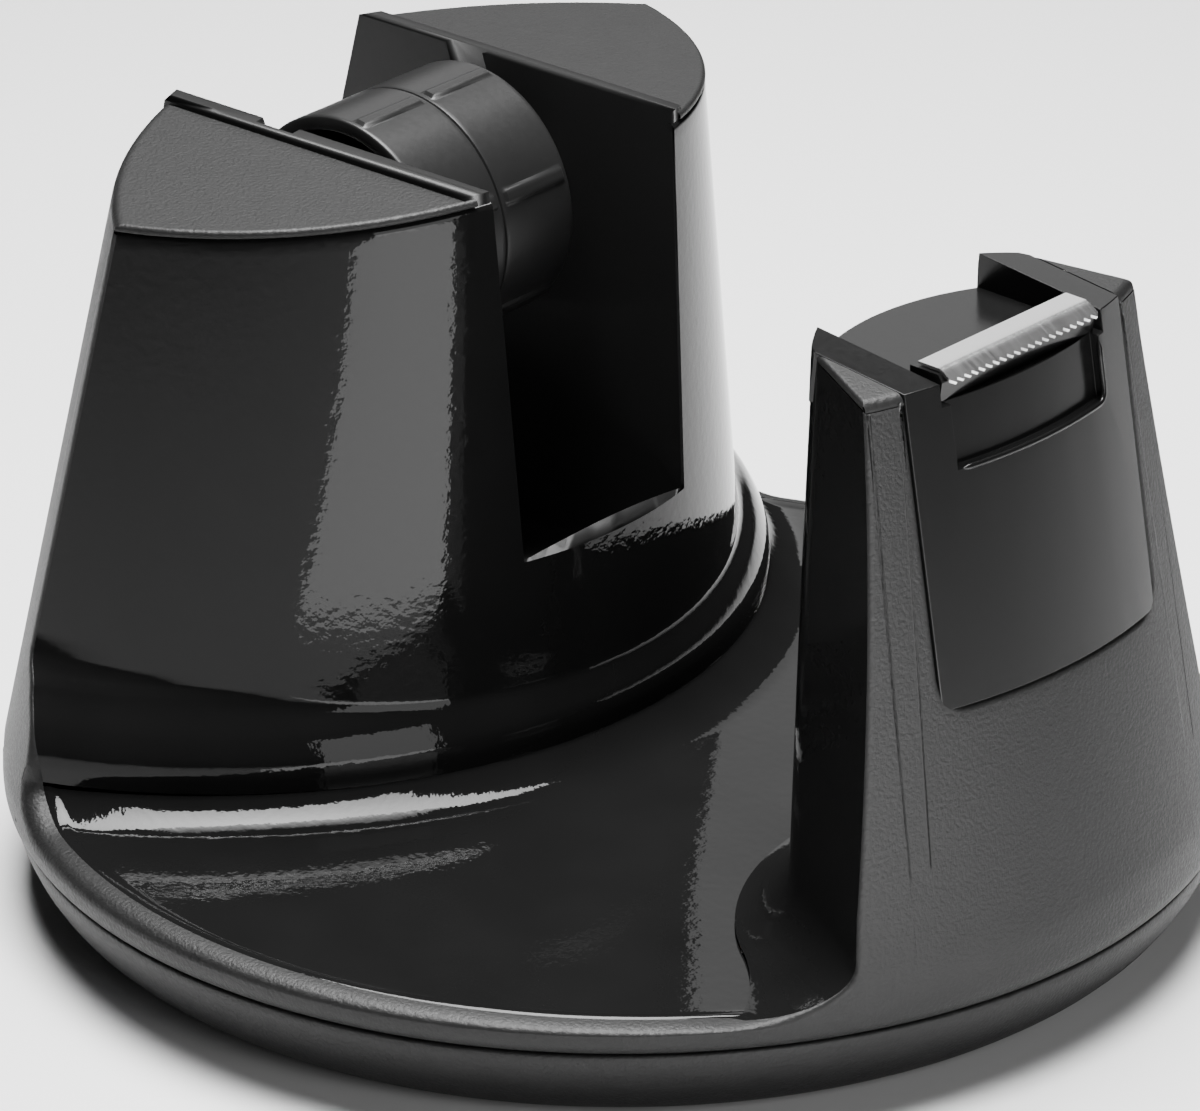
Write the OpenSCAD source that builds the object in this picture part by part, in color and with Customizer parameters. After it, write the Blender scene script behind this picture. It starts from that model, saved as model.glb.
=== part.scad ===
// Weighted desk tape dispenser: a round base with a tall rear tower that holds the
// tape core and a lower front tower that carries the toothed blade.
// X points forward (rear tower to blade), Y to the left, Z up. The origin is the
// centre of the foot on the table.

/* [Outer body] */
// Radius of the outer cone at the height of the wing tips
top_r = 45.7; // [45:0.1:47]
// Height of the wing tips of the rear tower
wing_z = 66.7; // [66:0.1:67.5]
// How much the outer cone widens for each mm further down
body_draft = 0.203; // [0.19:0.001:0.21]
// Wall thickness of the mouldings
wall = 2; // [1.8:0.1:2.2]
// Thickness of the matte caps on both towers
cap_t = 1.6; // [1.2:0.1:2]
// Radius of the body at the seam above the foot
seam_r = 55.9; // [55.5:0.1:56.2]
// Height of the seam above the foot
seam_z = 8.5; // [8.3:0.1:8.7]
// Radius of the foot on the table
foot_r = 50.4; // [50:0.1:51]

/* [Rear tower face] */
// Centre of the front face's circle at its top, along X
face_x = -39.1; // [-39.5:0.1:-38.5]
// Radius of the front face's circle at its top
face_r = 36.7; // [36.2:0.1:37.2]
// How much the front face widens for each mm further down
face_draft = 0.126; // [0.12:0.001:0.13]
// Backward lean of the front face's axis, in degrees
face_lean = 4.1; // [3.8:0.1:4.4]

/* [Valley and plinth] */
// Height of the valley floor at the middle of the base
floor_z = 12.8; // [12.5:0.1:13.1]
// Forward fall of the valley floor, in degrees
floor_fall = 2.3; // [2:0.1:2.6]
// Height of the plinth's upper edge
plinth_z = 21.8; // [21.5:0.1:22]
// Largest radius of the plinth's bead
plinth_r = 50.5; // [50.3:0.1:50.8]

/* [Front tower] */
// Radius of the front face at the height of the ears
nose_r = 48.3; // [48:0.1:48.5]
// How much the front face widens for each mm further down
nose_draft = 0.163; // [0.155:0.001:0.17]
// Height of the ears at their rear tips
ear_z = 66.9; // [66.5:0.1:67.3]
// Half the gap between the ears
channel_half = 10.9; // [10.8:0.1:11]
// Height of the platform that the tape lies on
platform_z = 63.5; // [63.2:0.1:63.8]
// Half the width of the smooth front panel
panel_half = 14.5; // [14.3:0.1:14.8]
// Height of the lower edge of the smooth front panel
panel_z = 36.5; // [35:0.5:38]

/* [Roll slot] */
// Half the width of the slot at the height of its front lip
slot_half = 10.9; // [10.8:0.1:11]
// Sideways draft of the slot's walls, in degrees
slot_draft = 2.1; // [2:0.1:2.2]
// Radius of the slot's hollow floor about the hub axis
slot_r = 33.8; // [33.4:0.1:34]
// Thickness of the slot liner
liner_t = 2.3; // [2.1:0.1:2.4]
// Lean of the guide grooves towards the rear, in degrees
groove_lean = 21.7; // [21:0.1:22.5]

/* [Hub] */
// Hub axis along X
hub_x = -25.9; // [-26.2:0.1:-25.6]
// Hub axis above the table
hub_z = 57.3; // [57:0.1:57.5]
// Radius of the hub over its ribs
hub_r = 12.3; // [12.1:0.1:12.5]
// Length of the whole hub
hub_len = 18; // [17.6:0.1:18.4]
// Radius of the axle
axle_r = 2; // [1.8:0.1:2.2]

/* [Blade] */
// Width of the blade
blade_w = 20; // [19.6:0.1:20.2]
// Number of teeth on the blade
tooth_count = 21; // [19:1:23]
// Thickness of the blade's steel
blade_t = 0.4; // [0.3:0.05:0.5]

/* [Hidden] */
$fn = 96;

high_z = 74;                 // above every surface
big = 200;                   // larger than the object
rim_r = seam_r + 0.85;       // widest radius, just above the seam
rim_z = 11;
cone_z = 13;                 // where the outer cone takes over from the rim
pad_t = 1.2;                 // soft pad
plate_t = 2;                 // bottom plate
plate_r = 48;
bead_z = 18.6;               // where the plinth's edge starts to slope in
flange_z = 3.5;              // underside of the ring's inner flange
ledge_z = 5.5;               // underside of the shell's inner ledge
ledge_top = 8.8;
ledge_r = 38;                // inner radius of the ledge
bore_gap = 0.05;             // running clearance, measured on the radius
groove_ease = 0.15;          // clearance above the seat, measured on the radius
strip_rise = 0.3;            // the slot strips stand above the caps
groove_y = 13.2;             // depth of the guide grooves, from the middle
core_r = 4;                  // tube in the hub that turns on the axle
screw_r = 1.1;
head_r = 2.1;
head_t = 1.3;

base_screw_r = 45.6;
base_screw_angles = [30, 90, 150, 210, 270, 330];
ballast_screw_r = 26;
ballast_screw_angles = [0, 120, 240];
saddle_screw_r = 41;
saddle_screw_angles = [70, 105, 255, 290];
leg_x = 39.5;
leg_y = 8;
tab_x = -13;                 // tabs that hold the liner to the saddle
tab_y = 18;
tab_heights = [36, 52];
holder_screw_y = 6.5;

function body_r(z) = top_r + body_draft * (wing_z - z);
function front_r(z) = nose_r + nose_draft * (ear_z - 1.4 - z);
function slot_y(z) = slot_half + tan(slot_draft) * (z - 33);

// ---- envelopes, each moved inwards by inset ----

module rim_env(inset) {
    rotate_extrude($fn = 180)
        polygon([[0, seam_z], [seam_r - inset, seam_z], [rim_r - 0.25 - inset, seam_z + 1.1],
                 [rim_r - inset, rim_z], [body_r(cone_z) - inset, cone_z], [0, cone_z]]);
}

module body_env(inset) {
    rim_env(inset);
    translate([0, 0, cone_z])
        cylinder(r1 = body_r(cone_z) - inset, r2 = body_r(high_z) - inset, h = high_z - cone_z);
}

// The front tower stands a little prouder than the outer cone.
module nose_env(inset) {
    rim_env(inset);
    intersection() {
        translate([0, 0, cone_z])
            cylinder(r1 = front_r(cone_z) - inset, r2 = front_r(high_z) - inset,
                     h = high_z - cone_z);
        translate([25, -30, 0])
            cube([40, 60, high_z + 1]);
    }
}

module whole_env(inset) {
    body_env(inset);
    nose_env(inset);
}

// Everything under a ridge along X that falls to both sides.
module roof(x, z, fall_x, fall_y) {
    intersection() {
        translate([x, 0, z])
            rotate([-fall_y, fall_x, 0])
                translate([-big / 2, -big / 2, -big])
                    cube(big);
        translate([x, 0, z])
            rotate([fall_y, fall_x, 0])
                translate([-big / 2, -big / 2, -big])
                    cube(big);
    }
}

module rear_roof(drop) {
    roof(-28.5, wing_z + 2.7 - drop, -1.4, 4.4);
}

module ear_roof(drop) {
    roof(32.5, ear_z + 0.6 - drop, 5.5, 3);
}

module face_env(inset) {
    translate([face_x, 0, 68])
        rotate([0, face_lean, 0])
            translate([0, 0, -90])
                cylinder(r1 = face_r - inset + face_draft * 90, r2 = face_r - inset - face_draft * 10,
                         h = 100);
}

// The moulding round the foot of the rear tower, with its edge sloped to the face.
module plinth_env(inset) {
    translate([-49, 0, 0]) {
        translate([0, 0, seam_z])
            cylinder(r = plinth_r - inset, h = bead_z - inset - seam_z);
        translate([0, 0, bead_z - inset])
            cylinder(r1 = plinth_r - inset, r2 = plinth_r - 2.8 - inset, h = plinth_z - bead_z);
    }
}

module floor_env(inset) {
    translate([0, 0, floor_z - inset])
        rotate([0, floor_fall, 0])
            translate([-big / 2, -big / 2, -big])
                cube(big);
}

module side_env(inset) {
    translate([34.4, 13.7, ear_z])
        rotate([0, 0, 27])
            rotate([4.7, 0, 0])
                translate([-big / 2, -big - inset, -big / 2])
                    cube(big);
}

// The front tower: a rounded back, two sides that spread forwards and downwards.
module tower_env(inset) {
    intersection() {
        translate([53.1, 0, 0])
            cylinder(r1 = 25 - inset, r2 = 22.7 - inset, h = high_z);
        side_env(inset);
        mirror([0, 1, 0])
            side_env(inset);
    }
}

// What the glossy saddle covers: tower face, plinth, valley floor and front tower.
module gloss_env() {
    intersection() {
        union() {
            face_env(0);
            plinth_env(0);
        }
        rear_roof(cap_t);
    }
    floor_env(0);
    intersection() {
        tower_env(0);
        ear_roof(cap_t);
    }
}

// The hollow under the saddle, open at the top of both towers.
module gloss_core(inset) {
    face_env(inset);
    plinth_env(inset);
    floor_env(inset);
    tower_env(inset);
}

// Tapered slab between the slot's two walls, widened by grow on each side.
module slot_wedge(grow) {
    translate([-big / 2, 0, 0])
        rotate([90, 0, 90])
            linear_extrude(height = big)
                polygon([[-slot_y(10) - grow, 10], [slot_y(10) + grow, 10],
                         [slot_y(high_z) + grow, high_z], [-slot_y(high_z) - grow, high_z]]);
}

module across(r, half) {
    translate([hub_x, half, hub_z])
        rotate([90, 0, 0])
            cylinder(r = r, h = 2 * half, $fn = 180);
}

module cradle_env() {
    intersection() {
        across(slot_r + liner_t, 20);
        slot_wedge(liner_t);
    }
}

module slot_space() {
    intersection() {
        across(slot_r, 20);
        slot_wedge(0);
    }
}

// Slanted seat for the axle: a round bottom and straight sides up to the mouth.
module guide_groove() {
    across(axle_r + bore_gap, groove_y);
    translate([hub_x, 0, hub_z])
        rotate([0, -groove_lean, 0])
            translate([-axle_r - groove_ease, -groove_y, 0])
                cube([2 * (axle_r + groove_ease), 2 * groove_y, 30]);
}

module carrier_block(z) {
    translate([20, -panel_half, z])
        cube([60, 2 * panel_half, high_z]);
}

// ---- fasteners ----

module ring_of(r, angles) {
    for (a = angles)
        rotate([0, 0, a])
            translate([r, 0, 0])
                children();
}

// Screw driven upwards, its head's underside at z = 0.
module screw(length) {
    translate([0, 0, -head_t])
        cylinder(r = head_r, h = head_t, $fn = 32);
    cylinder(r = screw_r, h = length, $fn = 24);
}

module screw_hole(length) {
    translate([0, 0, -head_t - 0.1])
        cylinder(r = head_r + 0.2, h = head_t + 0.1, $fn = 32);
    cylinder(r = screw_r + 0.05, h = length + 0.1, $fn = 24);
}

module at_legs() {
    for (side = [-1, 1])
        translate([leg_x, side * leg_y, ledge_z])
            children();
}

module at_tabs() {
    for (side = [-1, 1], h = tab_heights)
        translate([tab_x, side * tab_y, h])
            rotate([0, 90, 0])
                children();
}

module at_holder() {
    for (side = [-1, 1])
        translate([44.9, side * holder_screw_y, platform_z - 2])
            children();
}

// ---- sub-parts ----

// Matte outer moulding: both towers' skins and caps, the skirt and an inner ledge.
module outer_shell() {
    color("#1d1e20")
    difference() {
        union() {
            intersection() {
                difference() {
                    whole_env(0);
                    whole_env(wall);
                }
                gloss_core(wall);
                union() {
                    intersection() {
                        rear_roof(0);
                        translate([-big / 2, -big / 2, 0])
                            cube([big / 2 + 15, big, big]);
                    }
                    intersection() {
                        ear_roof(0);
                        translate([15, -big / 2, 0])
                            cube([big, big, big]);
                    }
                }
            }
            difference() {
                intersection() {
                    body_env(0);
                    face_env(0);
                    rear_roof(0);
                }
                rear_roof(cap_t);
                cradle_env();
            }
            difference() {
                intersection() {
                    nose_env(0);
                    tower_env(0);
                    ear_roof(0);
                }
                ear_roof(cap_t);
                carrier_block(0);
            }
            rotate_extrude($fn = 180)
                polygon([[ledge_r, ledge_z], [seam_r - wall - 0.1, ledge_z],
                         [seam_r - wall - 0.1, seam_z], [seam_r - wall + 0.6, seam_z],
                         [seam_r - wall + 0.6, ledge_top], [ledge_r, ledge_top]]);
        }
        carrier_block(panel_z);
        cradle_env();
        ring_of(base_screw_r, base_screw_angles)
            translate([0, 0, pad_t + head_t])
                screw_hole(6.2);
        ring_of(saddle_screw_r, saddle_screw_angles)
            translate([0, 0, ledge_z])
                screw_hole(4.2);
        at_legs()
            screw_hole(12);
    }
}

// Lower rim under the seam, with a flange that takes the bottom plate.
module base_ring() {
    color("#18191b")
    difference() {
        rotate_extrude($fn = 180)
            polygon([[plate_r + 0.1, 0.4], [foot_r, 0.4], [foot_r + 1.8, 1.6], [foot_r + 3.6, 3.6],
                     [foot_r + 4.8, 6], [seam_r, seam_z], [seam_r - wall, seam_z],
                     [seam_r - wall, ledge_z], [43.8, ledge_z], [43.8, flange_z],
                     [plate_r + 0.1, flange_z]]);
        ring_of(base_screw_r, base_screw_angles)
            translate([0, 0, pad_t + head_t])
                screw_hole(6.2);
    }
}

// High-gloss moulding between the towers.
module saddle() {
    color("#0b0b0d")
    difference() {
        union() {
            difference() {
                intersection() {
                    gloss_env();
                    whole_env(0);
                }
                gloss_core(wall);
            }
            intersection() {
                ring_of(saddle_screw_r, saddle_screw_angles)
                    translate([0, 0, ledge_top])
                        cylinder(r = 3, h = 6);
                floor_env(wall - 0.2);
            }
            difference() {
                at_tabs()
                    translate([0, 0, 2])
                        cylinder(r = 3, h = 8);
                difference() {
                    translate([-20, -40, 20])
                        cube([40, 80, 45]);
                    face_env(wall - 0.2);
                }
            }
        }
        cradle_env();
        carrier_block(platform_z - 2);
        ring_of(saddle_screw_r, saddle_screw_angles)
            translate([0, 0, ledge_z])
                cylinder(r = screw_r + 0.05, h = 4.3, $fn = 24);
        at_tabs()
            cylinder(r = screw_r + 0.05, h = 4.1, $fn = 24);
    }
}

// Liner of the roll slot with its raised strips, guide grooves and fixing tabs.
module roll_cradle() {
    color("#222325")
    difference() {
        union() {
            intersection() {
                cradle_env();
                body_env(0);
                face_env(0);
                rear_roof(-strip_rise);
            }
            for (side = [-1, 1], h = tab_heights)
                translate([tab_x, side * 17.1 - 4.6, h - 3.5])
                    cube([2, 9.2, 7]);
        }
        slot_space();
        guide_groove();
        at_tabs()
            cylinder(r = screw_r + 0.05, h = 4, $fn = 24);
    }
}

// Insert of the front tower: tape platform, inner ear walls and the smooth panel.
module cutter_carrier() {
    color("#26272a")
    difference() {
        union() {
            intersection() {
                nose_env(0);
                tower_env(0);
                ear_roof(0);
                carrier_block(platform_z - 2);
            }
            intersection() {
                difference() {
                    nose_env(0);
                    nose_env(wall);
                }
                translate([20, -panel_half, panel_z])
                    cube([60, 2 * panel_half, platform_z - 2 - panel_z]);
                tower_env(wall);
            }
            intersection() {
                nose_env(wall - 0.1);
                tower_env(wall);
                difference() {
                    translate([30, -panel_half, 52])
                        cube([30, 2 * panel_half, platform_z - 53.9]);
                    translate([20, -panel_half + wall, 0])
                        cube([60, 2 * (panel_half - wall), high_z]);
                }
            }
            at_legs()
                translate([0, 0, ledge_top - ledge_z])
                    cylinder(r = 3, h = platform_z - ledge_top - 1.9);
        }
        translate([20, -channel_half, platform_z])
            cube([60, 2 * channel_half, 20]);
        intersection() {
            difference() {
                nose_env(-1);
                nose_env(1);
            }
            translate([40, -blade_w / 2, 57.6])
                cube([20, blade_w, 10]);
        }
        at_legs()
            cylinder(r = screw_r + 0.05, h = 12.1, $fn = 24);
        at_holder()
            screw_hole(3.4);
    }
}

// Bar that the blade is clipped over.
module blade_holder() {
    color("#101012")
    difference() {
        translate([0, blade_w / 2 + 0.4, 0])
            rotate([90, 0, 0])
                linear_extrude(height = blade_w + 0.8)
                    polygon([[43.2, platform_z], [46.6, platform_z], [46.9, 65.4], [46.4, 66.1],
                             [43.2, 66.1]]);
        at_holder()
            cylinder(r = screw_r + 0.05, h = 3.5, $fn = 24);
    }
}

// Toothed strip, bent down along its front edge.
module cutter_blade() {
    pitch = blade_w / tooth_count;
    lip = 2.1;
    color("#d9dadc")
    union() {
        translate([43.8, -blade_w / 2, 66.1])
            cube([2.7, blade_w, blade_t]);
        translate([46.3, 0, 66.17])
            rotate([0, 33, 0])
                linear_extrude(height = blade_t)
                    polygon(concat([[0, -blade_w / 2]],
                                   [for (i = [0 : 2 * tooth_count])
                                       [lip - (i % 2 == 0 ? 0.7 : 0), -blade_w / 2 + i * pitch / 2]],
                                   [[0, blade_w / 2]]));
    }
}

// One half of the tape core: ribbed drum, middle web and the tube on the axle.
module hub_half() {
    drum_r = hub_r - 0.35;
    rotate([-90, 0, 0])
    difference() {
        union() {
            difference() {
                cylinder(r = drum_r, h = hub_len / 2, $fn = 120);
                translate([0, 0, 1])
                    cylinder(r = drum_r - 1.5, h = hub_len, $fn = 120);
            }
            cylinder(r = core_r, h = hub_len / 2 - 0.6, $fn = 48);
            for (a = [8 : 60 : 308])
                rotate([0, 0, a - 90])
                    translate([drum_r - 0.4, -0.6, 0.6])
                        cube([0.75, 1.2, hub_len / 2 - 1.2]);
        }
        translate([0, 0, -1])
            cylinder(r = axle_r + bore_gap, h = hub_len, $fn = 48);
    }
}

module hub_left() {
    color("#2b2c2e")
    translate([hub_x, 0, hub_z])
        hub_half();
}

module hub_right() {
    color("#2e2f31")
    translate([hub_x, 0, hub_z])
        mirror([0, 1, 0])
            hub_half();
}

module hub_axle() {
    half = groove_y - 0.3;
    color("silver")
    translate([hub_x, half, hub_z])
        rotate([90, 0, 0])
            cylinder(r = axle_r, h = 2 * half, $fn = 48);
}

// Casting that makes the base heavy: a disc, and a block under the roll slot.
module ballast_weight() {
    color("#5b5d60")
    difference() {
        union() {
            translate([0, 0, 4.2])
                cylinder(r = ledge_r - 0.5, h = 4.1);
            translate([-34, -22, 8.2])
                cube([26, 44, 11]);
        }
        ring_of(ballast_screw_r, ballast_screw_angles)
            translate([0, 0, pad_t + head_t])
                cylinder(r = screw_r + 0.05, h = 5.1, $fn = 24);
    }
}

module ballast_foam() {
    color("#3c3c3c")
    difference() {
        translate([0, 0, pad_t + plate_t])
            cylinder(r = 36, h = 1);
        ring_of(ballast_screw_r, ballast_screw_angles)
            cylinder(r = screw_r + 0.3, h = 10, $fn = 24);
    }
}

module base_plate() {
    color("#2a2b2d")
    difference() {
        translate([0, 0, pad_t])
            cylinder(r = plate_r, h = plate_t);
        ring_of(base_screw_r, base_screw_angles)
            translate([0, 0, pad_t + head_t])
                screw_hole(6.2);
        ring_of(ballast_screw_r, ballast_screw_angles)
            translate([0, 0, pad_t + head_t])
                screw_hole(5);
    }
}

module nonslip_pad() {
    color("#3a3d40")
        cylinder(r = plate_r - 0.6, h = pad_t);
}

module base_screws() {
    color("silver")
        ring_of(base_screw_r, base_screw_angles)
            translate([0, 0, pad_t + head_t])
                screw(6.1);
}

module ballast_screws() {
    color("silver")
        ring_of(ballast_screw_r, ballast_screw_angles)
            translate([0, 0, pad_t + head_t])
                screw(5);
}

module saddle_screws() {
    color("silver")
        ring_of(saddle_screw_r, saddle_screw_angles)
            translate([0, 0, ledge_z])
                screw(4.2);
}

module cradle_screws() {
    color("silver")
        at_tabs()
            screw(4);
}

module carrier_screws() {
    color("silver")
        at_legs()
            screw(12);
}

module holder_screws() {
    color("silver")
        at_holder()
            screw(3.4);
}

outer_shell();
base_ring();
saddle();
roll_cradle();
cutter_carrier();
blade_holder();
cutter_blade();
hub_left();
hub_right();
hub_axle();
ballast_weight();
ballast_foam();
base_plate();
nonslip_pad();
base_screws();
ballast_screws();
saddle_screws();
cradle_screws();
carrier_screws();
holder_screws();
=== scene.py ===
import math

import bmesh
import bpy
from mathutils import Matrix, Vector


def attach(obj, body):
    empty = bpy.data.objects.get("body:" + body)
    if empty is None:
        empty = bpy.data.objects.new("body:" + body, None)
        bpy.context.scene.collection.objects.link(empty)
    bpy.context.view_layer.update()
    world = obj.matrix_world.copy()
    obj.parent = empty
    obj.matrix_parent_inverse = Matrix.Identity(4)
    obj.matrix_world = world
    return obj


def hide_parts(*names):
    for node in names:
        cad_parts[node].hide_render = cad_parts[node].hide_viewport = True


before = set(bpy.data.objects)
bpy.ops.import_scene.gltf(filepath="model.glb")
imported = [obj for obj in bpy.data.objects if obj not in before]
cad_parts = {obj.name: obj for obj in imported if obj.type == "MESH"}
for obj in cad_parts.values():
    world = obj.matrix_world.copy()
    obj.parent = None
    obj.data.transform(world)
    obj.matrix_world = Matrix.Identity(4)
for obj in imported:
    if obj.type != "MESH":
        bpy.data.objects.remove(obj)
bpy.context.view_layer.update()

# ---- Camera, table and lamps ----
# A long lens looks down on the dispenser from its front right. It stands on a pale matte
# table under one broad lamp, with a weak lamp behind it, a small one at its front right,
# and one lying on the table there, face up.
camera_down = 0.435317
camera_turn = 0.734174
camera = bpy.data.objects.new("camera", bpy.data.cameras.new("camera"))
bpy.context.scene.collection.objects.link(camera)
camera.location = (0.621185, -0.691095, 0.462894)
camera.rotation_euler = (math.pi / 2 - camera_down, 0, camera_turn)
camera.data.sensor_width = 36
camera.data.lens = 336.79
bpy.context.scene.camera = camera


def lamp(name, place, target, width, height, power):
    """A rectangular soft lamp, its face turned towards the target."""
    light = bpy.data.lights.new(name, "AREA")
    light.shape = "RECTANGLE"
    light.size = width
    light.size_y = height
    light.energy = power
    holder = bpy.data.objects.new(name, light)
    bpy.context.scene.collection.objects.link(holder)
    holder.location = place
    aim = Vector(target) - Vector(place)
    holder.rotation_euler = aim.to_track_quat("-Z", "Y").to_euler()
    holder.visible_camera = False
    return holder


overhead = lamp("lamp_overhead", place=(-0.05, 0.06, 0.6), target=(0, 0, 0),
                width=0.4, height=0.4, power=5.4)
overhead.data.spread = math.radians(80)
lamp("lamp_front", place=(0.32, -0.12, 0.12), target=(0, 0, 0.04),
     width=0.16, height=0.24, power=0.6)
card = lamp("lamp_card", place=(0.287, -0.116, 0.002), target=(0.287, -0.116, 1),
            width=0.44, height=0.14, power=1.4)
card.rotation_euler = (math.pi, 0, math.radians(-22))
lamp("lamp_back", place=(-0.55, 0.72, 0.42), target=(0, 0, 0.03),
     width=0.4, height=0.4, power=0.7)

fill_light = 0.01
world = bpy.data.worlds.new("studio")
world.use_nodes = True
world.node_tree.nodes["Background"].inputs["Color"].default_value = (1, 1, 1, 1)
world.node_tree.nodes["Background"].inputs["Strength"].default_value = fill_light
bpy.context.scene.world = world


class Value:
    """A shader value or colour; sums and products of values add Math nodes."""

    def __init__(self, finish, socket):
        self.finish = finish
        self.socket = socket

    def maths(self, operation, first, second):
        return self.finish.node("ShaderNodeMath", {"operation": operation},
                                {0: first, 1: second})

    def __add__(self, other):
        return self.maths("ADD", self, other)

    def __radd__(self, other):
        return self.maths("ADD", other, self)

    def __mul__(self, other):
        return self.maths("MULTIPLY", self, other)

    def __rmul__(self, other):
        return self.maths("MULTIPLY", other, self)


class Finish:
    """A material with one Principled shader, and the nodes that vary it."""

    def __init__(self, name, **uniform):
        self.material = bpy.data.materials.new(name)
        self.material.use_nodes = True
        self.tree = self.material.node_tree
        self.shader = self.tree.nodes["Principled BSDF"]
        for socket, number in uniform.items():
            self.shader.inputs[socket.replace("_", " ")].default_value = number
        self.place = self.node("ShaderNodeTexCoord", {}, {}, "Object")

    def node(self, kind, settings, values, output=0):
        """Adds a node: its settings first, then the numbers or links of its sockets."""
        made = self.tree.nodes.new(kind)
        for name, setting in settings.items():
            if name == "stops":
                for stop, (where, level) in zip(made.color_ramp.elements, setting):
                    stop.position = where
                    stop.color = grey(level)
            else:
                setattr(made, name, setting)
        for name, value in values.items():
            if isinstance(value, Value):
                self.tree.links.new(value.socket, made.inputs[name])
            else:
                made.inputs[name].default_value = value
        return Value(self, made.outputs[output])

    def noise(self, size, detail=2.0):
        """A cloudy pattern whose spots are about this size, in metres."""
        return self.node("ShaderNodeTexNoise", {},
                         {"Vector": self.place, "Scale": 1 / size, "Detail": detail})

    def ramp(self, value, low, high):
        return self.node("ShaderNodeValToRGB", {"stops": [(low, 0.0), (high, 1.0)]},
                         {"Fac": value})

    def mix(self, mask, dark, light):
        return self.node("ShaderNodeMix", {"data_type": "RGBA"},
                         {"Factor": mask, 6: dark, 7: light}, 2)

    def feed(self, socket, value):
        self.tree.links.new(value.socket, self.shader.inputs[socket])

    def bump(self, height, depth):
        self.feed("Normal", self.node("ShaderNodeBump", {}, {"Height": height,
                                                             "Distance": depth,
                                                             "Strength": 1.0}))


def grey(level):
    return (level, level, level, 1)


table_r = 1.5
table_top = Finish("table_paint", Roughness=0.6)
table_top.feed("Base Color", table_top.mix(table_top.noise(0.2), grey(0.62), grey(0.65)))
table_top.bump(table_top.noise(0.004), 0.00002)
mesh = bpy.data.meshes.new("table")
form = bmesh.new()
bmesh.ops.create_circle(form, cap_ends=True, segments=96, radius=table_r)
form.to_mesh(mesh)
form.free()
table = bpy.data.objects.new("table", mesh)
bpy.context.scene.collection.objects.link(table)
table.data.materials.append(table_top.material)
table.location = (0, 0, -0.0002)

# ---- Saddle ----
# The high-gloss moulding between the towers: face of the rear tower with its bead, the
# plinth round its foot, the dished valley floor, and the back and sides of the front tower.
# Injection moulded, polished like glass, screwed up from the ledge of the outer shell.
mm = 0.001
plinth_x = -49.0
plinth_r = 50.5
plinth_foot = 15.1
lip_r = 54.5
wall_step = 0.3
cap_seam = 0.74
slot_lip = 33.2
ear_y = 10.9


def body_r(z):
    """Radius of the cone of the rear tower and the skirt."""
    return 45.7 + 0.203 * (66.7 - z)


def nose_r(z):
    """Radius of the front tower's outer wall, a little prouder than the skirt."""
    return 48.3 + 0.163 * (65.5 - z)


def rear_roof(x, y):
    fall_back = math.tan(math.radians(1.4))
    fall_out = math.tan(math.radians(4.4))
    return 69.4 + fall_back * (x + 28.5) - fall_out * abs(y)


def ear_roof(x, y):
    fall_front = math.tan(math.radians(5.5))
    fall_out = math.tan(math.radians(3))
    return 67.5 - fall_front * (x - 32.5) - fall_out * abs(y)


def slot_y(z):
    """Half the width of the roll slot, which opens upwards."""
    return 10.9 + math.tan(math.radians(2.1)) * (z - 33)


def between(low, high, part):
    return low + (high - low) * part


def solve(test, low, high):
    """Where test changes from negative to positive, by halving."""
    for _ in range(40):
        middle = (low + high) / 2
        if test(middle) < 0:
            low = middle
        else:
            high = middle
    return (low + high) / 2


def face_axis(z):
    """Where the axis of the rear tower's face stands; it leans back as it goes down."""
    return -39.1 - (68 - z) * math.tan(math.radians(4.1))


def face_r(z):
    return 36.78 + 0.126 * (68 - z)


def face_reach(angle, z):
    """Distance of the tower's face from the plinth's axis."""
    centre = face_axis(z) - plinth_x
    return (centre * math.cos(angle)
            + math.sqrt(face_r(z) ** 2 - (centre * math.sin(angle)) ** 2))


# Height and radius down the plinth, from inside the face to the valley floor.
plinth_profile = [(26.0, 40.0), (23.2, 46.6), (22.2, 47.3), (21.4, 48.1), (20.8, 48.8),
                  (20.1, 49.4), (19.0, 50.0), (18.0, 50.4), (16.7, 50.6),
                  (plinth_foot, plinth_r)]


def plinth_reach(z):
    for (upper, small), (lower, wide) in zip(plinth_profile, plinth_profile[1:]):
        if z >= lower:
            return between(small, wide, max(0, (upper - z) / (upper - lower)))
    return plinth_r


def rear_reach(angle, z):
    """Face or plinth, whichever stands further out, with a soft hollow between them."""
    face = face_reach(angle, z)
    foot = plinth_reach(z)
    soft = max(0.0, 1 - abs(face - foot) / 0.8)
    return max(face, foot) + 0.2 * soft * soft


def rear_point(angle, z, inset=0.0):
    reach = rear_reach(angle, z) - inset
    return Vector((plinth_x + reach * math.cos(angle), reach * math.sin(angle), z))


def wall_edge(z):
    """Angle about the plinth's axis at which the face meets the outer wall or the lip."""
    limit = body_r(z) - wall_step
    if z < 21:
        rise = max(0.0, (z - plinth_foot) / 5.9)
        limit = between(lip_r, limit, rise * rise * (3 - 2 * rise))
    return solve(lambda angle: rear_point(angle, z).xy.length - limit, 0.0, 2.0)


def slot_edge(z):
    """Angle about the plinth's axis at which the face meets the side of the roll slot."""
    return solve(lambda angle: rear_point(angle, z).y - slot_y(z), 0.0, 1.2)


def skin(form, rows, sides=(1, -1)):
    """Joins rows of points, all of one length, into a smooth sheet and its mirror image."""
    for side in sides:
        points = [[form.verts.new((p[0] * mm, p[1] * side * mm, p[2] * mm)) for p in row]
                  for row in rows]
        for first, second in zip(points, points[1:]):
            for k in range(len(first) - 1):
                corners = [first[k], first[k + 1], second[k + 1], second[k]]
                form.faces.new(corners if side > 0 else corners[::-1])


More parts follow.
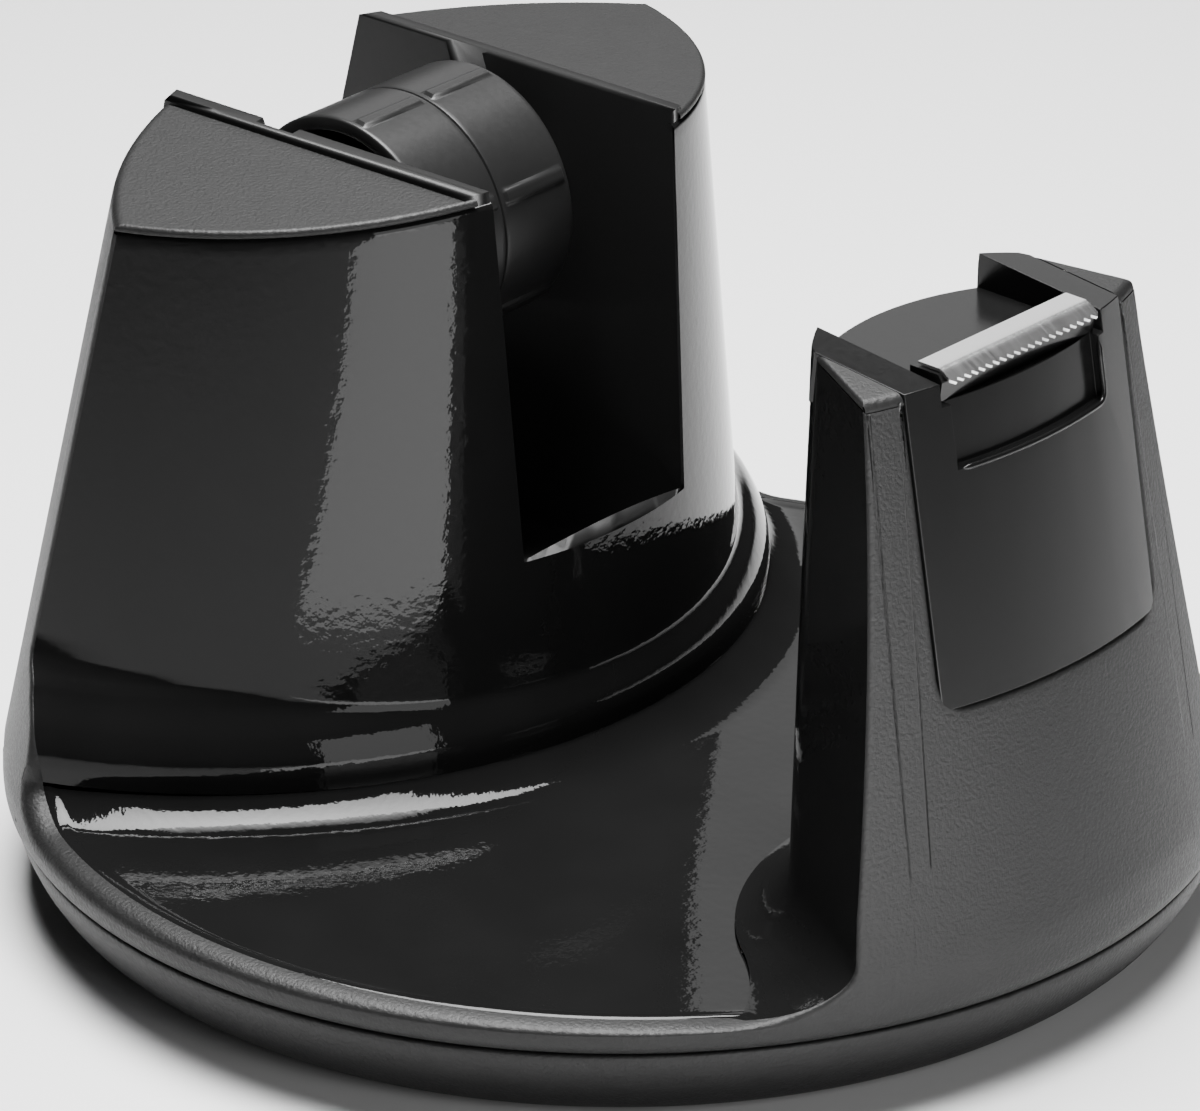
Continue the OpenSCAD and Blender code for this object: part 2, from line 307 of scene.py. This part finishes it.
def piece_from(form, name, finish, weld=0.00002):
    """Makes the finished mesh object, smooth all over."""
    bmesh.ops.remove_doubles(form, verts=form.verts, dist=weld)
    bmesh.ops.dissolve_degenerate(form, edges=form.edges, dist=0.000002)
    bmesh.ops.recalc_face_normals(form, faces=form.faces)
    for face in form.faces:
        face.smooth = True
    shape = bpy.data.meshes.new(name)
    form.to_mesh(shape)
    form.free()
    made = bpy.data.objects.new(name, shape)
    bpy.context.scene.collection.objects.link(made)
    shape.materials.append(finish.material)
    return made


gloss = Finish("gloss_black", Base_Color=grey(0.005), Roughness=0.04,
               Specular_IOR_Level=0.14)
gloss.feed("Base Color", gloss.mix(gloss.noise(0.01), grey(0.004), grey(0.006)))
gloss.bump(gloss.noise(0.0009), 0.000018)

face_columns = 72
under_slot = 10


def rear_row(height, inset=0.0, whole=False):
    """One row of the face at a height, which may be a number or a rule on (x, y).

    A whole row also runs on to the middle, under the slot.
    """
    row = []
    for k in range(-under_slot if whole else 0, face_columns + 1):
        z = 60.0 if callable(height) else height
        for _ in range(3):
            low = slot_edge(z)
            if k < 0:
                angle = low * (1 + k / under_slot)
            else:
                angle = between(low, wall_edge(z), k / face_columns)
            point = rear_point(angle, z, inset)
            if callable(height):
                z = height(point.x, point.y)
        row.append(point)
    return row


# The face from its rounded bead under the cap down to the lower end of the slot.
form = bmesh.new()
bead = 0.6
face_rows = 30
rows = []
for k in range(7):
    turn = math.radians(15 * k)
    drop = cap_seam + bead * (1 - math.cos(turn))
    rows.append(rear_row(lambda x, y: rear_roof(x, y) - drop, bead * (1 - math.sin(turn))))
top_row = rows[-1]
bottom_row = rear_row(slot_lip)
for k in range(1, face_rows):
    row = []
    for column, (over, under) in enumerate(zip(top_row, bottom_row)):
        z = between(over.z, under.z, k / face_rows)
        angle = between(slot_edge(z), wall_edge(z), column / face_columns)
        row.append(rear_point(angle, z))
    rows.append(row)
rows.append(bottom_row)
skin(form, rows)
wing_edge = [row[-1] for row in reversed(rows[4:])]

# The rest of the face and the plinth, with rows set close where the plinth curves.
plinth_heights = [slot_lip, 33.05, 32.7, 31, 29, 27, 25, 24, 23.5, 23, 22.7, 22.4, 22.1, 21.8,
                  21.5, 21.2, 20.9, 20.6, 20.3, 20, 19.5, 19, 18.5, 18, 17.5, 17, 16.5, 16.1,
                  15.8, 15.5, 15.3, plinth_foot]
rows = [rear_row(z, whole=True) for z in plinth_heights]
skin(form, rows)
foot_row = rows[-1]
wing_edge = [row[-1] for row in reversed(rows[1:])] + wing_edge

tower_x = 53.1
back_steps = 12
bend_steps = 7
corner_steps = 8
side_steps = 30
outline_points = back_steps + bend_steps + corner_steps + side_steps
corner_r = 1.8


def tower_base(z):
    """Plan outline of the front tower at a height, from its middle to its front edge."""
    radius = 25 - 2.3 * z / 74
    lean = math.tan(math.radians(3.5)) * (66.9 - z)
    slope = math.radians(27)
    start = Vector((34.4 - lean * math.sin(slope), 13.7 + lean * math.cos(slope)))
    along = Vector((math.cos(slope), math.sin(slope)))
    gap = start - Vector((tower_x, 0))
    half = gap.dot(along)
    corner = start + along * (-half - math.sqrt(half ** 2 - gap.length ** 2 + radius ** 2))
    edge = math.radians(22.2 + 4.4 * (max(0, 66 - z) / 50) ** 1.6)
    front = Vector((math.cos(edge), math.sin(edge))) * (nose_r(z) - wall_step)
    bend = math.atan2(corner.y, tower_x - corner.x)
    ear = math.asin(ear_y / radius)
    last = max(ear + 0.01, bend - corner_r / radius)
    turns = [ear * k / back_steps for k in range(back_steps)]
    turns += [between(ear, last, k / 6) for k in range(bend_steps)]
    line = [Vector((tower_x - radius * math.cos(turn), radius * math.sin(turn)))
            for turn in turns]
    before = line[-1]
    after = corner + (front - corner).normalized() * corner_r
    for k in range(1, corner_steps + 1):
        t = k / corner_steps
        line.append(before * (1 - t) ** 2 + corner * 2 * t * (1 - t) + after * t * t)
    for k in range(1, side_steps + 1):
        line.append(between(after, front, k / side_steps))
    return line


def tower_foot(z, turn):
    """Outline swept out by the fillet at the tower's foot, wider towards the lip."""
    base = tower_base(z)
    final = outline_points - 1
    row = []
    for k, point in enumerate(base):
        along = (base[min(final, k + 1)] - base[max(0, k - 1)]).normalized()
        out = Vector((-1, 0)) if k == 0 else Vector((-along.y, along.x))
        part = (k / final) ** 3
        wide = between(4.6, 11.5, part)
        tall = between(6.0, 4.5, part)
        low = between(11.6, 11.0, part)
        height = low + tall * (1 - math.cos(turn))
        moved = point + out * (wide * (1 - math.sin(turn)))
        if k == final:
            reach = between(lip_r, nose_r(height) - wall_step, math.sin(turn) ** 0.5)
            moved = moved.normalized() * reach
        row.append(Vector((moved.x, moved.y, height)))
    reach = row[-1].xy.length
    for k in range(final - 11, final):
        if row[k].xy.length > reach:
            flat = row[k].xy.normalized() * reach
            row[k] = Vector((flat.x, flat.y, row[k].z))
    return row


# The front tower from its foot to its rounded top, which stops under the ears' caps.
tower_top = 63.2
rows = [tower_foot(17.0, math.radians(7.5 * k)) for k in range(13)]
tower_foot_row = rows[0]
for k in range(1, 25):
    z = between(17.6, tower_top, k / 24)
    rows.append([Vector((p.x, p.y, z)) for p in tower_base(z)])
skin(form, rows)
tower_edge = [row[-1] for row in reversed(rows)]
rows = []
for k in range(5):
    row = []
    for index, under in enumerate(tower_base(tower_top)[back_steps:]):
        z = between(tower_top, ear_roof(under.x, under.y) - cap_seam, k / 4)
        point = tower_base(z)[back_steps + index]
        row.append(Vector((point.x, point.y, z)))
    rows.append(row)
skin(form, rows)
tower_edge = [row[-1] for row in reversed(rows[1:])] + tower_edge


def along_line(line, part):
    """Point at a part of the length of a line of points."""
    steps = [(b - a).length for a, b in zip(line, line[1:])]
    goal = part * sum(steps)
    for a, b, step in zip(line, line[1:], steps):
        if goal <= step:
            return a.lerp(b, goal / step)
        goal -= step
    return line[-1].copy()


# The valley floor is spanned between the plinth's foot, the lip and the tower's foot. It
# rises in a cove to the plinth, and to a low bead along the lip.
floor_columns = 90
floor_rows = 60
cove_rise = 2.3
cove_wide = 5
lip_bead = 0.22
lip_bead_wide = 0.35
lip_end = tower_foot_row[-1]
first_angle = math.atan2(foot_row[-1].y, foot_row[-1].x)
last_angle = math.atan2(lip_end.y, lip_end.x)
rear_line = [along_line(foot_row, k / floor_columns) for k in range(floor_columns + 1)]
front_line = [along_line(tower_foot_row, k / floor_columns)
              for k in range(floor_columns + 1)]
rows = []
for j in range(floor_rows + 1):
    v = (j / floor_rows) ** 1.3
    angle = between(first_angle, last_angle, v)
    lip_z = between(12.3, 11.0, v)
    side = Vector((lip_r * math.cos(angle), lip_r * math.sin(angle), lip_z))
    middle = rear_line[0].lerp(front_line[0], v)
    row = []
    for i in range(floor_columns + 1):
        u = i / floor_columns
        point = (rear_line[i].lerp(front_line[i], v) + middle.lerp(side, u)
                 - rear_line[0].lerp(rear_line[-1], u).lerp(
                     front_line[0].lerp(front_line[-1], u), v))
        floor_z = between(12.8, between(11.6, 11.0, u), v)
        floor_z = between(floor_z, lip_z, u ** 4)
        gap = max(0.0, (point.xy - Vector((plinth_x, 0))).length - plinth_r)
        point.z = floor_z + cove_rise * max(0.0, 1 - gap / cove_wide) ** 2
        from_lip = lip_r - point.xy.length
        point.z += lip_bead * math.exp(-((from_lip - lip_bead_wide) / lip_bead_wide) ** 2)
        row.append(point)
    rows.append(row)
skin(form, rows)
lip_edge = [row[-1] for row in reversed(rows[1:-1])]
saddle = piece_from(form, "saddle_moulding", gloss, 0.00005)
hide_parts("saddle")
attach(saddle, "base")

# ---- Outer shell ----
# The matte moulding that wraps both towers: fine spark-eroded texture, rounded caps on the
# towers, a soft shoulder round the lip, and a window for the smooth front panel.
matte = Finish("matte_black", Base_Color=grey(0.02), Roughness=0.5, Specular_IOR_Level=0.25)
grain = matte.noise(0.00035, 3)
matte.feed("Roughness", 0.4 + 0.22 * grain)
matte.feed("Base Color", matte.mix(matte.noise(0.004), grey(0.005), grey(0.007)))
matte.bump(grain, 0.00007)

panel_y = 14.6
panel_low = 36.4
panel_corner = 3
slot_corner_z = 34.5
slot_floor = 33.1
edge_round = 0.9
seam_round = 0.45
low_z = 10.6


def wall_r(angle, z):
    """Radius of the outer wall: a cone, a little prouder on the front tower."""
    front = max(0.0, min(1.0, (math.radians(45) - angle) / math.radians(10)))
    cone = between(body_r(z), nose_r(z), front)
    return min(cone, 56.75 - 0.015 * (z - low_z))


def polar(radius, angle, z):
    return Vector((radius * math.cos(angle), radius * math.sin(angle), z))


def on_wall(angle, z, inset=0.0):
    return polar(wall_r(angle, z) - inset, angle, z)


# The wall's upper rim, from the middle of the front panel round to the middle of the slot
# behind: angle, height, and how far inwards and downwards its edge is rounded.
border = (0.5, 0.6)
under_cap = (0.0, 0.05)
rim = []
for k in range(13):
    y = (panel_y - panel_corner) * k / 12
    rim.append((math.asin(y / nose_r(panel_low)), panel_low, *border))
for k in range(1, 8):
    turn = math.radians(90 * k / 7)
    y = panel_y - panel_corner + panel_corner * math.sin(turn)
    z = panel_low + panel_corner * (1 - math.cos(turn))
    rim.append((math.asin(y / nose_r(z)), z, *border))
for k in range(1, 21):
    z = between(panel_low + panel_corner, 64.9, k / 20)
    rim.append((math.asin(panel_y / nose_r(z)), z, *border))
for k in range(9):
    angle = between(math.asin((panel_y + 0.2) / nose_r(65)), math.radians(22.0), k / 8)
    point = on_wall(angle, 65)
    rim.append((angle, ear_roof(point.x, point.y) - edge_round, *under_cap))
for point in tower_edge + lip_edge + wing_edge:
    angle = math.atan2(point.y, point.x)
    inset = wall_r(angle, point.z) - point.xy.length
    room = point.z - low_z - 0.05
    deep = max(0.7, min(0.8 * inset, room)) if inset > 0.5 else 0.6
    rim.append((angle, point.z, inset, min(deep, room)))
wing_angle = rim[-1][0]
slot_angle = math.pi - math.asin(14.2 / body_r(66))
for k in range(41):
    angle = between(wing_angle + 0.004, slot_angle, k / 40)
    point = on_wall(angle, 66)
    rim.append((angle, rear_roof(point.x, point.y) - edge_round, *under_cap))
for k in range(1, 20):
    z = between(66.5, 36.0, k / 19)
    rim.append((math.pi - math.asin((slot_y(z) + 0.7) / body_r(z)), z, *border))
for k in range(1, 8):
    turn = math.radians(90 * k / 7)
    y = slot_y(slot_corner_z) - 1.3 + 2 * math.cos(turn)
    z = 34.0 - 0.9 * math.sin(turn)
    rim.append((math.pi - math.asin(y / body_r(z)), z, *border))
for k in range(1, 13):
    y = between(slot_y(slot_corner_z) - 1.3, 0.0, k / 12)
    rim.append((math.pi - math.asin(y / body_r(slot_floor)), slot_floor, *border))

# Angle at the rim and at the foot, in degrees, so that the wall's columns fan out evenly.
marks = [(0.0, 0.0), (12.6, 15.0), (17.6, 18.5), (22.2, 20.5), (38, 37.0), (60, 60.0),
         (118.5, 118.5), (131, 138.0), (math.degrees(slot_angle), 163.0), (180.0, 180.0)]


def bottom_angle(angle):
    for (top, low), (next_top, high) in zip(marks, marks[1:]):
        top = math.radians(top)
        next_top = math.radians(next_top)
        if angle <= next_top:
            return math.radians(between(low, high, (angle - top) / (next_top - top)))
    return math.pi


wall_steps = 24
foot_profile = [(56.7, 10.0), (56.55, 9.4), (56.3, 8.95), (56.05, 8.65), (55.85, 8.55),
                (55.6, 8.52), (54.6, 8.52)]
points = [on_wall(angle, z) for angle, z, _, _ in rim]
columns = []
for k, (angle, z, inset, deep) in enumerate(rim):
    column = []
    along = points[min(k + 1, len(rim) - 1)] - points[max(k - 1, 0)]
    out = Vector((math.cos(angle), math.sin(angle), 0.2)).normalized()
    inward = along.cross(out).normalized()
    for step in range(7):
        turn = math.radians(15 * step)
        moved = points[k] + inward * deep * (1 - math.cos(turn))
        around = math.atan2(moved.y, moved.x)
        if k == 0 or k == len(rim) - 1:
            around = angle
        column.append(on_wall(around, moved.z, inset * (1 - math.sin(turn))))
    start = column[-1]
    top_angle = math.atan2(start.y, start.x)
    for step in range(1, wall_steps + 1):
        part = step / wall_steps
        column.append(on_wall(between(top_angle, bottom_angle(angle), part),
                              between(start.z, low_z, part)))
    for radius, height in foot_profile:
        column.append(polar(radius, bottom_angle(angle), height))
    columns.append(column)
form = bmesh.new()
skin(form, columns)


def soft_drop(gap, radius):
    """How far a rounded top edge has fallen at a distance from the edge."""
    short = min(radius, max(0.0, radius - gap))
    return radius - math.sqrt(radius ** 2 - short ** 2)


def seam_skirt(line, inward):
    """Turns a cap's inner edge down into the seam above the gloss moulding."""
    rows = [line]
    for drop, inset in [(0.12, 0.0), (0.22, 0.06), (0.27, 0.4)]:
        rows.append([Vector((p.x + inward * inset, p.y, p.z - drop)) for p in line])
    skin(form, rows)


def face_x(y, z):
    return face_axis(z) + math.sqrt(face_r(z) ** 2 - y * y)


def rear_cap_row(y):
    """One line of the rear tower's cap, from the outer wall to the face."""
    row = []
    z = rear_roof(-28.5, y) - edge_round
    rear = -math.sqrt(body_r(z) ** 2 - y * y)
    front = max(face_x(y, z), rear)
    for k in range(61):
        x = between(rear, front, (1 - math.cos(math.pi * k / 60)) / 2)
        gap_wall = body_r(z) - math.hypot(x, y)
        angle = math.atan2(y, x - plinth_x)
        gap_face = face_reach(angle, z) - math.hypot(x - plinth_x, y)
        fall = max(soft_drop(gap_wall, edge_round), soft_drop(gap_face, seam_round))
        row.append(Vector((x, y, rear_roof(x, y) - fall)))
    return row


tip_y = solve(lambda y: -math.sqrt(body_r(66) ** 2 - y * y) - face_x(y, 66), 20.0, 36.5)
rows = [rear_cap_row(between(13.6, tip_y, math.sin(math.pi / 2 * k / 50)))
        for k in range(51)]
skin(form, rows)
seam_skirt([row[-1] for row in rows], -1)


def side_x(y, z):
    """Where the front tower's side stands at a height, for a distance from the middle."""
    line = tower_base(z)[outline_points - side_steps - 1:]
    for a, b in zip(line, line[1:]):
        if y <= b.y:
            return between(a.x, b.x, (y - a.y) / (b.y - a.y))
    return line[-1].x


# The ears' caps, from the front tower's side to its outer wall.
ear_z = 65.0
ear_tip = tower_base(ear_z)[-1].y
rows = []
for j in range(25):
    y = between(panel_y, ear_tip, math.sin(math.pi / 2 * j / 24))
    back = side_x(y, ear_z)
    front = max(back, math.sqrt(nose_r(ear_z) ** 2 - y * y))
    row = []
    for k in range(31):
        x = between(back, front, (1 - math.cos(math.pi * k / 30)) / 2)
        fall = max(soft_drop((x - back) * 0.45, seam_round),
                   soft_drop(nose_r(ear_z) - math.hypot(x, y), edge_round))
        row.append(Vector((x, y, ear_roof(x, y) - fall)))
    rows.append(row)
skin(form, rows)
seam_skirt([row[0] for row in rows], 1)
shell = piece_from(form, "outer_moulding", matte)
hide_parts("outer_shell")
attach(shell, "base")

# ---- Base ring ----
# The lower rim of the same matte plastic: it closes the body under a fine seam, curves in
# to the foot, and is screwed up into the shell together with the bottom plate.
form = bmesh.new()
ring_profile = [(54.6, 8.3), (55.55, 8.3), (55.75, 8.22), (55.85, 8.0), (55.75, 7.2),
                (55.3, 6.0), (54.75, 4.8), (54.0, 3.6), (53.15, 2.5), (52.2, 1.6),
                (51.3, 0.95), (50.7, 0.6), (50.4, 0.42), (49.8, 0.4), (48.2, 0.4),
                (48.1, 0.6), (48.1, 3.4), (44, 3.5), (43.8, 3.6), (43.8, 5.3), (44, 5.4),
                (53.8, 5.5), (53.9, 8.2), (54.6, 8.3)]
skin(form, [[polar(r, math.pi * k / 120, z) for r, z in ring_profile] for k in range(121)])
ring = piece_from(form, "lower_rim", matte)
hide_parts("base_ring")
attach(ring, "base")

# ---- Roll cradle, cutter carrier and blade holder ----
# Satin inserts of the same black plastic: the liner of the roll slot with its raised strips
# and guide grooves, the insert of the front tower, and the bar that carries the blade.
# Their corners are broken with a small radius, as on any moulded edge.


def satin_finish(name, low, high, level, shine):
    """Black plastic with a fine sheen, its roughness between low and high."""
    made = Finish(name, Roughness=0.35, Specular_IOR_Level=level)
    cloud = made.noise(0.0006, 3)
    made.feed("Roughness", low + (high - low) * cloud)
    made.feed("Base Color", made.mix(made.noise(0.005), grey(shine), grey(shine * 1.3)))
    made.bump(made.noise(0.00035, 3), 0.000005)
    return made


def soften(node, name, finish, width):
    """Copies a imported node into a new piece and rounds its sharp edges."""
    form = bmesh.new()
    form.from_mesh(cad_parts[node].data)
    bmesh.ops.remove_doubles(form, verts=form.verts, dist=0.000002)
    bmesh.ops.dissolve_limit(form, angle_limit=math.radians(1), verts=form.verts,
                             edges=form.edges)
    sharp = [edge for edge in form.edges
             if len(edge.link_faces) == 2 and edge.calc_face_angle(0) > math.radians(28)]
    bmesh.ops.bevel(form, geom=sharp, offset=width * mm, segments=3, profile=0.5,
                    affect="EDGES", clamp_overlap=True)
    made = piece_from(form, name, finish, 0.000001)
    evened = made.modifiers.new("evened", "WEIGHTED_NORMAL")
    evened.keep_sharp = True
    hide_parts(node)
    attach(made, "base")
    return made


cradle_look = satin_finish("cradle_satin", 0.4, 0.55, 0.25, 0.006)
cradle = soften("roll_cradle", "roll_liner", cradle_look, 0.3)
panel_look = satin_finish("panel_satin", 0.16, 0.26, 0.2, 0.004)
carrier = soften("cutter_carrier", "front_insert", panel_look, 0.3)
holder_bar = soften("blade_holder", "blade_bar", panel_look, 0.2)

# The raised bead round the recess under the blade: along its lower edge, round the corner
# and up to the blade.
bead_r = 0.28
recess_low = 57.5
recess_y = 9.0
recess_corner = 1.1


def on_front(y, z):
    return Vector((math.sqrt((nose_r(z) - 0.1) ** 2 - y * y), y, z))


form = bmesh.new()
path = [on_front(-9.6 + 0.6 * k, recess_low) for k in range(32)]
for k in range(1, 7):
    turn = math.radians(15 * k)
    path.append(on_front(recess_y + recess_corner * math.sin(turn),
                         58.6 - recess_corner * math.cos(turn)))
for z in [59.4, 60.4, 61.4, 62.4, 63.2]:
    path.append(on_front(10.1, z))
rings = []
for k, point in enumerate(path):
    along = (path[min(k + 1, len(path) - 1)] - path[max(k - 1, 0)]).normalized()
    out = Vector((point.x, point.y, 0)).normalized()
    up = along.cross(out)
    thick = 0.02 if k in (0, len(path) - 1) else bead_r
    rings.append([point + (out * math.cos(math.radians(30 * t))
                           + up * math.sin(math.radians(30 * t))) * thick
                  for t in range(13)])
skin(form, rings, (1,))
recess_bead = piece_from(form, "recess_bead", panel_look, 0.000001)
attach(recess_bead, "base")

# ---- Blade ----
# A strip of polished spring steel, folded over the bar, with small pointed teeth along
# its lower edge where the tape is torn off.
steel = Finish("blade_steel", Metallic=1.0, Roughness=0.2)
streaks = steel.node("ShaderNodeMapping", {}, {"Vector": steel.place, "Scale": (1, 14, 1)})
brushed = steel.node("ShaderNodeTexNoise", {}, {"Vector": streaks, "Scale": 400.0})
steel.feed("Roughness", 0.16 + 0.12 * brushed)
steel.feed("Base Color", steel.mix(brushed, grey(0.85), grey(0.93)))
steel.bump(brushed, 0.000004)

blade_half = 10.0
teeth = 21
tooth_reach = 0.8
notch_reach = 0.35
form = bmesh.new()
strip_profile = [(43.8, 66.3), (43.8, 66.5), (44.6, 66.5), (45.4, 66.5), (46.0, 66.5),
                 (46.3, 66.46), (46.55, 66.36), (46.8, 66.2), (47.2, 65.95)]
fold_x, fold_z = strip_profile[-1]
rows = []
for k in range(2 * teeth + 1):
    y = between(-blade_half, blade_half, k / (2 * teeth))
    reach = tooth_reach if k % 2 else notch_reach
    tip = (fold_x + reach * 0.84, fold_z - reach * 0.545)
    rows.append([Vector((x, y, z)) for x, z in strip_profile + [tip]])
skin(form, rows, (1,))
blade = piece_from(form, "blade_strip", steel, 0.000001)
sheet_steel = blade.modifiers.new("thickness", "SOLIDIFY")
sheet_steel.thickness = 0.0003
sheet_steel.offset = -1
creased = blade.modifiers.new("evened", "EDGE_SPLIT")
creased.split_angle = math.radians(50)
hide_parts("cutter_blade")
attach(blade, "base")

# ---- Hub ----
# Two moulded half drums pressed together on a tube: open at both ends, with a web at the
# joint line and six raised ribs that grip the cardboard core of the tape.
hub_look = satin_finish("hub_plastic", 0.3, 0.42, 0.25, 0.008)
hub_x = -25.9
hub_z = 57.3
drum_r = 12.0
rib_rise = 0.3
rib_spacing = 60
first_rib = 8


def hub_half(name, node, side):
    """One half drum, its section turned about the axle and raised at the ribs."""
    form = bmesh.new()
    rows = []
    for k in range(361):
        turn = math.radians(k)
        past = abs((k - first_rib) % rib_spacing)
        near = min(past, rib_spacing - past)
        rib_r = drum_r + rib_rise * max(0.0, min(1.0, (3.9 - near) / 1.3))
        section = [(2.07, 0.03), (11.7, 0.03), (11.85, 0.06), (drum_r - 0.03, 0.14),
                   (drum_r, 0.3), (drum_r, 0.6), (rib_r, 0.85), (rib_r, 4.0), (rib_r, 8.2),
                   (drum_r, 8.5), (drum_r, 8.75), (11.93, 8.92), (11.8, 9.0), (10.8, 9.0),
                   (10.68, 8.95), (10.6, 8.8), (10.5, 1.3), (10.3, 1.05), (4.4, 1.0),
                   (4.1, 1.2), (4.0, 8.3), (3.9, 8.4), (2.2, 8.4), (2.07, 8.3), (2.07, 0.03)]
        rows.append([Vector((hub_x + radius * math.sin(turn), y,
                             hub_z + radius * math.cos(turn))) for radius, y in section])
    skin(form, rows, (side,))
    made = piece_from(form, name, hub_look, 0.000005)
    creased = made.modifiers.new("evened", "EDGE_SPLIT")
    creased.split_angle = math.radians(40)
    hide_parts(node)
    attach(made, "hub")
    return made


hub_half("hub_half_left", "hub_left", 1)
hub_half("hub_half_right", "hub_right", -1)

# ---- Axle, ballast, foam, bottom plate, pad and screws ----
# The axle is a turned steel pin. The ballast is a rough iron casting on a sheet of foam,
# over a plain plastic plate with a soft rubber pad glued under it. All screws are steel.
axle_look = Finish("axle_steel", Metallic=1.0, Roughness=0.3)
axle_look.feed("Roughness", 0.22 + 0.15 * axle_look.noise(0.0005))
axle_look.feed("Base Color", axle_look.mix(axle_look.noise(0.003), grey(0.5), grey(0.6)))
iron_look = Finish("ballast_iron", Metallic=0.8)
rust = iron_look.ramp(iron_look.noise(0.004, 6), 0.5, 0.7)
iron_look.feed("Roughness", 0.6 + 0.3 * rust)
iron_look.feed("Base Color", iron_look.mix(rust, grey(0.12), (0.1, 0.05, 0.03, 1)))
iron_look.bump(iron_look.noise(0.0012, 6), 0.0002)
foam_look = Finish("foam_grey", Roughness=0.95)
foam_look.feed("Base Color", foam_look.mix(foam_look.noise(0.0012, 4), grey(0.05), grey(0.1)))
foam_look.bump(foam_look.noise(0.0009, 4), 0.0003)
plate_look = satin_finish("plate_black", 0.45, 0.6, 0.4, 0.012)
pad_look = Finish("pad_rubber", Roughness=0.85)
cells = pad_look.node("ShaderNodeTexVoronoi", {}, {"Vector": pad_look.place, "Scale": 900.0})
pad_look.feed("Base Color", pad_look.mix(pad_look.noise(0.003), grey(0.035), grey(0.05)))
pad_look.bump(cells, 0.0001)
screw_look = Finish("screw_steel", Metallic=1.0)
screw_look.feed("Roughness", 0.25 + 0.2 * screw_look.noise(0.0004))
screw_look.feed("Base Color", screw_look.mix(screw_look.noise(0.001), grey(0.4), grey(0.55)))
hidden = {"hub_axle": axle_look, "ballast_weight": iron_look, "ballast_foam": foam_look,
          "base_plate": plate_look, "nonslip_pad": pad_look}
for name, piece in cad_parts.items():
    if name in hidden or name.endswith("_screws"):
        piece.data.materials.clear()
        piece.data.materials.append(hidden.get(name, screw_look).material)
